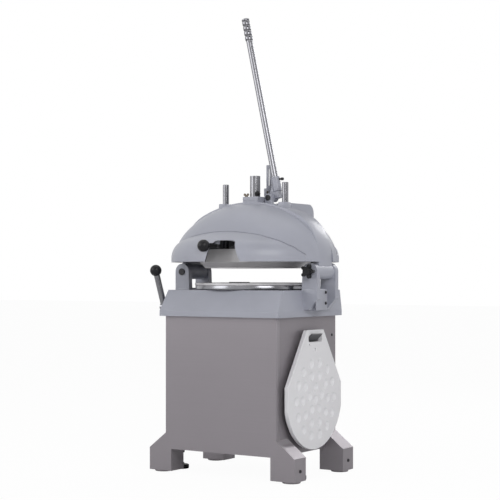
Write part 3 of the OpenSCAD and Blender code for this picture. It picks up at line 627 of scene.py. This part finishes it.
def cut_crease(bell, side):
    """Fine groove between the dome and the visor."""
    groove = draw_line("groove", crease_line(side))
    pick(groove)
    bpy.ops.object.convert(target="CURVE")
    groove.data.bevel_depth = 0.0024
    groove.data.bevel_resolution = 2
    groove.data.use_fill_caps = True
    bpy.ops.object.convert(target="MESH")
    open_edit(groove)
    close_edit(merge=0.00001)
    combine(bell, groove, "DIFFERENCE")


def bell_half(name, side):
    """Front (-1) or rear (1) half of the hollow bell."""
    shell = bell_solid(0.0)
    trim(shell, BELL, (0, 0, -1))
    trim(shell, (0, BELL[1] + side * SPLIT, BELL[2]), (0, -side, 0))
    hollow = bell_solid(BELL_WALL)
    if side < 0:
        # Boss for the setting lever's pin
        foot, top, radius = 0.981, 1.2, 0.014
        low, high = (0, SETTING_PIN_Y, foot), (0, SETTING_PIN_Y, top)
        combine(hollow, bar("boss", radius, low, high, UPRIGHT), "DIFFERENCE")
    combine(shell, hollow, "DIFFERENCE")
    shell.name = name
    return shell


def paint_hollow_shade(bell):
    """The inside faces of the casting get the dark casting finish as painted shade of the hollow,
    but not the flat where it ends.
    """
    past_flat = SPLIT + 0.001
    # Painted shade: the dark finish on the inner faces stands for the shade inside the hollow bell
    bell.data.materials.append(FINISHES["dark_cast"])
    for face in bell.data.polygons:
        away = face.center - Vector(BELL)
        if face.normal.dot(away) < 0 and abs(face.center.y - BELL[1]) > past_flat:
            face.material_index = 1


def make_bell_front():
    bell = bell_half("bell_front_casting", -1)
    # Opening over the setting lever: x, and z above the rim
    opening = [
        (-0.014, -0.01), (0.148, -0.01), (0.112, 0.076), (0.106, 0.085), (0.096, 0.088),
        (0.026, 0.088), (0.018, 0.085), (0.013, 0.077), (-0.017, 0.077), (-0.017, 0.053),
        (0.006, 0.053),
    ]
    line = [(x, BELL[2] + z) for x, z in opening]
    combine(bell, pull_along_y("opening", line, -0.40, -0.285), "DIFFERENCE")
    # Bore for the setting lever's pin
    foot, top, radius = 0.95, 0.997, 0.00605
    low, high = (0, SETTING_PIN_Y, foot), (0, SETTING_PIN_Y, top)
    combine(bell, bar("bore", radius, low, high, UPRIGHT, steps=32), "DIFFERENCE")
    cut_crease(bell, -1)
    smooth(bell, 24)
    settle(bell, "head", "paint", "bell_front")
    paint_hollow_shade(bell)


def make_bell_rear():
    bell = bell_half("bell_rear_casting", 1)
    # Slot that the press link passes through
    slot = [(-0.0125, 1.10), (0.0875, 1.10), (0.0875, 1.20), (-0.0125, 1.20)]
    combine(bell, pull_along_y("slot", slot, 0.06, 0.1075), "DIFFERENCE")
    cut_crease(bell, 1)
    smooth(bell, 24)
    settle(bell, "head", "paint", "bell_rear")
    paint_hollow_shade(bell)


# Yoke, table and plate
def rod_bore(x, radius):
    """Tool for an upright bore through the top of the yoke."""
    return bar("bore", radius, (x, BELL[1], 1.0), (x, BELL[1], 1.3), UPRIGHT)


def make_yoke():
    foot, spring = 0.867, 0.930
    half_span, inner_span, half_band = 0.356, 0.330, 0.0555
    hub_x, hub_radius, half_hub, hinge_bore = 0.331, 0.033, 0.0636, 0.0156
    outer = [(x, spring + max(z, 0)) for x, z in oval(half_span, 0.239, 0.205)]
    inner = [(x, spring + max(z, 0)) for x, z in oval(inner_span, 0.213, 0.179)]
    line = [(half_span, foot)] + outer + [(-half_span, foot), (-inner_span, foot)]
    line += inner[::-1] + [(inner_span, foot)]
    yoke = pull_along_y("yoke_casting", line, BELL[1] - half_band, BELL[1] + half_band)
    ease_edges(yoke, 0.004, segments=3, degrees=40)
    # Two ribs under the arch
    rib_foot, rib_thick = 1.058, 0.008
    rib_top = [(x, spring + z) for x, z in oval(0.331, 0.214, 0.180) if spring + z >= rib_foot]
    rib_low = [(x, spring + z) for x, z in oval(0.314, 0.197, 0.163) if spring + z >= rib_foot]
    for y in (-0.009, 0.051):
        rib = pull_along_y("rib", rib_top + rib_low[::-1], y, y + rib_thick)
        combine(yoke, rib, "UNION")
    # Hubs between the brackets, with the hinge's bore on the left
    for x in (-hub_x, hub_x):
        low, high = (x, BELL[1] - half_hub, foot), (x, BELL[1] + half_hub, foot)
        combine(yoke, bar("hub", hub_radius, low, high, ALONG_Y), "UNION")
    low, high = (-hub_x, -0.1, foot), (-hub_x, 0.15, foot)
    combine(yoke, bar("bore", hinge_bore, low, high, ALONG_Y), "DIFFERENCE")
    for x, radius in ((0, POST_BORE), (-ROD_X, ROD_BORE), (ROD_X, ROD_BORE)):
        combine(yoke, rod_bore(x, radius), "DIFFERENCE")
    smooth(yoke, 30)
    settle(yoke, "head", "paint", "yoke")


def make_table_rim():
    line = [
        (0.2535, 0.8068), (0.2600, 0.8068), (0.2608, 0.8050), (0.2608, 0.7925),
        (0.2596, 0.7905), (0.2535, 0.7905), (0.2535, 0.8068),
    ]
    points = [(x, BELL[1], z) for x, z in line]
    rim = spin_solid("table_rim", points, (0, 0, 1), BELL, steps=160)
    smooth(rim, 30)
    settle(rim, "table", "bright_steel")


def plate_blank():
    """A disc below, with straight shoulders up to the hand slot."""
    radius, half, shoulder, half_top, steps = 0.227, 0.220, 0.388, 0.069, 48
    middle = PLATE_LOW + radius
    ends = math.asin(half / radius)
    line = []
    for k in range(steps + 1):
        t = ends - 2 * ends * k / steps
        line.append((PLATE_Y + radius * math.sin(t), middle - radius * math.cos(t)))
    line += [
        (PLATE_Y - half, shoulder), (PLATE_Y - half_top, PLATE_HIGH),
        (PLATE_Y + half_top, PLATE_HIGH), (PLATE_Y + half, shoulder),
    ]
    plate = pull_along_x("cupped_plate", line, PLATE_BACK, PLATE_FACE)
    ease_edges(plate, 0.0018)
    return plate


def slot_tool():
    """Hand slot; each corner has its middle and the angle where its arc starts."""
    left, right, low, high, radius = -0.0415, 0.0515, 0.5795, 0.5885, 0.010
    line = []
    for y, z, first in ((right, high, 0), (left, high, 90), (left, low, 180), (right, low, 270)):
        for k in range(7):
            t = math.radians(first + 15 * k)
            line.append((y + radius * math.cos(t), z + radius * math.sin(t)))
    return pull_along_x("slot", line, PLATE_BACK - 0.01, PLATE_FACE + 0.012)


def cups_tool():
    """Thirty shallow cups in rings round the plate's middle."""
    deep, wide, steps, proud = 0.0085, 0.0205, 8, 0.004
    ball = (wide * wide + deep * deep) / (2 * deep)
    line = []
    for k in range(steps + 1):
        t = math.asin(wide / ball) * k / steps
        line.append((ball - deep - ball * math.cos(t), ball * math.sin(t)))
    line += [(proud, wide + 0.0006), (proud, 0)]
    middle = PLATE_LOW + 0.211
    # Cups in the ring, its radius, and the part of a step by which it is turned
    rings = ((1, 0.0, 0.0), (5, 0.051, 0.0), (10, 0.103, 0.5), (14, 0.154, 0.5))
    cups = []
    for count, radius, first in rings:
        for k in range(count):
            t = 2 * math.pi * (k + first) / count
            y, z = PLATE_Y + radius * math.sin(t), middle + radius * math.cos(t)
            cups.append(turn_solid("cup", line, (PLATE_FACE, y, z)))
    pick(cups[0])
    for cup in cups:
        cup.select_set(True)
    bpy.ops.object.join()
    return cups[0]


def make_plate():
    plate = plate_blank()
    combine(plate, slot_tool(), "DIFFERENCE")
    combine(plate, cups_tool(), "DIFFERENCE")
    for y, z, radius in ((-0.044, 0.558, 0.0050), (0.003, 0.538, 0.0062)):
        pit = [(-0.006, 0), (-0.006, radius), (0.002, radius), (0.002, 0)]
        combine(plate, turn_solid("pit", pit, (PLATE_FACE, y, z)), "DIFFERENCE")
    smooth(plate, 14)
    settle(plate, "plate", "white_plastic", "moulding_plate")


# Small pieces
def make_feet_of_brackets():
    """Square foot of each bracket, hung over the skirt, with two screws one above the other."""
    front, back, outside = -0.0646, 0.040, 0.356
    scoop_x, scoop_foot, scoop_top, scoop_radius = 0.327, 0.69, 0.772, 0.030
    line = [(0.297, 0.795), (0.352, 0.795), (outside, 0.789), (outside, 0.704), (0.2985, 0.704)]
    screw_line = [
        (-0.006, 0), (-0.006, 0.0065), (0.002, 0.0065), (0.0035, 0.005), (0.0035, 0.0025),
        (0.001, 0.0025), (0.001, 0),
    ]
    for side, name in ((1, "right"), (-1, "left")):
        mirrored = [(side * x, z) for x, z in line]
        foot = pull_along_y(name + "_bracket_foot", mirrored, front, back)
        ease_edges(foot, 0.0025)
        low, high = (side * scoop_x, front, scoop_foot), (side * scoop_x, front, scoop_top)
        combine(foot, bar("scoop", scoop_radius, low, high, UPRIGHT, steps=48), "DIFFERENCE")
        smooth(foot, 30)
        settle(foot, "base", "paint")
        for z, which in ((0.733, "low"), (0.779, "high")):
            outward = [(side * along, radius) for along, radius in screw_line]
            place = (side * outside, BELL[1], z)
            screw = turn_solid(f"{name}_foot_screw_{which}", outward, place)
            smooth(screw, 30)
            settle(screw, "base", "dark_steel")


def make_rod_seats():
    """A small seat on the yoke round each guide rod."""
    foot, half_foot = 1.128, 0.018
    top, half_top = 1.1665, 0.016
    front, back = -0.007, 0.047
    for x, name, node in ((-ROD_X, "left", "rod_pads"), (ROD_X, "right", None)):
        line = [
            (x - half_foot, foot), (x + half_foot, foot), (x + half_top, top), (x - half_top, top),
        ]
        seat = pull_along_y(name + "_rod_seat", line, front, back)
        ease_edges(seat, 0.0022)
        combine(seat, rod_bore(x, ROD_BORE), "DIFFERENCE")
        smooth(seat, 30)
        settle(seat, "head", "paint", node)


def make_small_screws():
    """Screw in the side of the lever's foot, and a round-headed one in the right panel."""
    straight = [
        (-0.010, 0), (-0.010, 0.0042), (0.008, 0.0042), (0.008, 0.0050), (0.0095, 0.0063),
        (0.0185, 0.0063), (0.0205, 0.0046), (0.0205, 0),
    ]
    screw = turn_solid("socket_screw", straight, (0.0975, 0.070, 1.2715))
    smooth(screw, 30)
    settle(screw, "lever", "dark_steel")
    rounded = [
        (-0.001, 0), (-0.001, 0.0062), (0.0008, 0.0062), (0.0022, 0.0050), (0.0030, 0.0030),
        (0.0032, 0),
    ]
    screw = turn_solid("panel_screw", rounded, (0.280, 0.210, 0.591))
    smooth(screw, 40)
    settle(screw, "base", "dark_steel")


def make_corner_folds():
    """The front sheet is folded round onto the sides."""
    inside, outside, top = 0.2800, 0.2824, 0.6755
    front, back = -0.2490, -0.2235
    line = [(inside, 0.164), (outside, 0.166), (outside, top), (inside, top)]
    for side, name in ((1, "right"), (-1, "left")):
        mirrored = [(side * x, z) for x, z in line]
        fold = pull_along_y(name + "_corner_fold", mirrored, front, back)
        ease_edges(fold, 0.0009)
        smooth(fold, 40)
        settle(fold, "base", "cabinet_steel")


def make_grip():
    """Four large beads and a flat cap on the end of the main lever."""
    foot, lean = (-0.0596, 0.070, 1.8889), math.radians(12.4)
    toward = (foot[0] - math.sin(lean), foot[1], foot[2] + math.cos(lean))
    pitch, neck, swell, beads, steps = 0.0232, 0.0138, 0.0038, 4, 8
    line = [(0, 0), (0, neck)]
    for k in range(beads):
        for j in range(1, steps + 1):
            t = 2 * j / steps - 1
            line.append((pitch * (k + j / steps), neck + swell * math.sqrt(1 - t * t)))
    cap = ((0.0008, 0.0168), (0.0040, 0.0176), (0.0062, 0.0168), (0.0095, 0.0110), (0.0112, 0))
    line += [(beads * pitch + along, radius) for along, radius in cap]
    grip = lean_solid("beaded_grip", line, foot, toward)
    smooth(grip, 42)
    settle(grip, "lever", "bright_steel", "lever_grip")


def make_rounding_rod():
    """Stout rod from the rounding shaft's hub up to the ball, with a spigot in the ball."""
    hub, ball = (-0.322, -0.207, 0.714), (-0.344, -0.239, 0.872)
    thick, eased, spigot, hub_radius = 0.0130, 0.0121, 0.0089, 0.0171
    reach = math.dist(hub, ball)
    shoulder, end = reach - 0.0217, reach - 0.0121
    line = [
        (0, 0), (0, thick), (reach - 0.0228, thick), (shoulder, eased), (shoulder, spigot),
        (end, spigot), (end, 0),
    ]
    rod = lean_solid("stout_rod", line, hub, ball)
    low, high = (-0.40, hub[1], hub[2]), (-0.29, hub[1], hub[2])
    combine(rod, bar("hub", hub_radius, low, high, ALONG_X), "DIFFERENCE")
    smooth(rod, 30)
    settle(rod, "rounding", "bright_steel", "rounding_rod")


place_camera()
lay_floor()
surround_studio()
hang_lamps()
dress_nodes()
make_bell_front()
make_bell_rear()
make_yoke()
make_table_rim()
make_plate()
make_feet_of_brackets()
make_rod_seats()
make_small_screws()
make_corner_folds()
make_grip()
make_rounding_rod()
scene.view_settings.view_transform = "Standard"
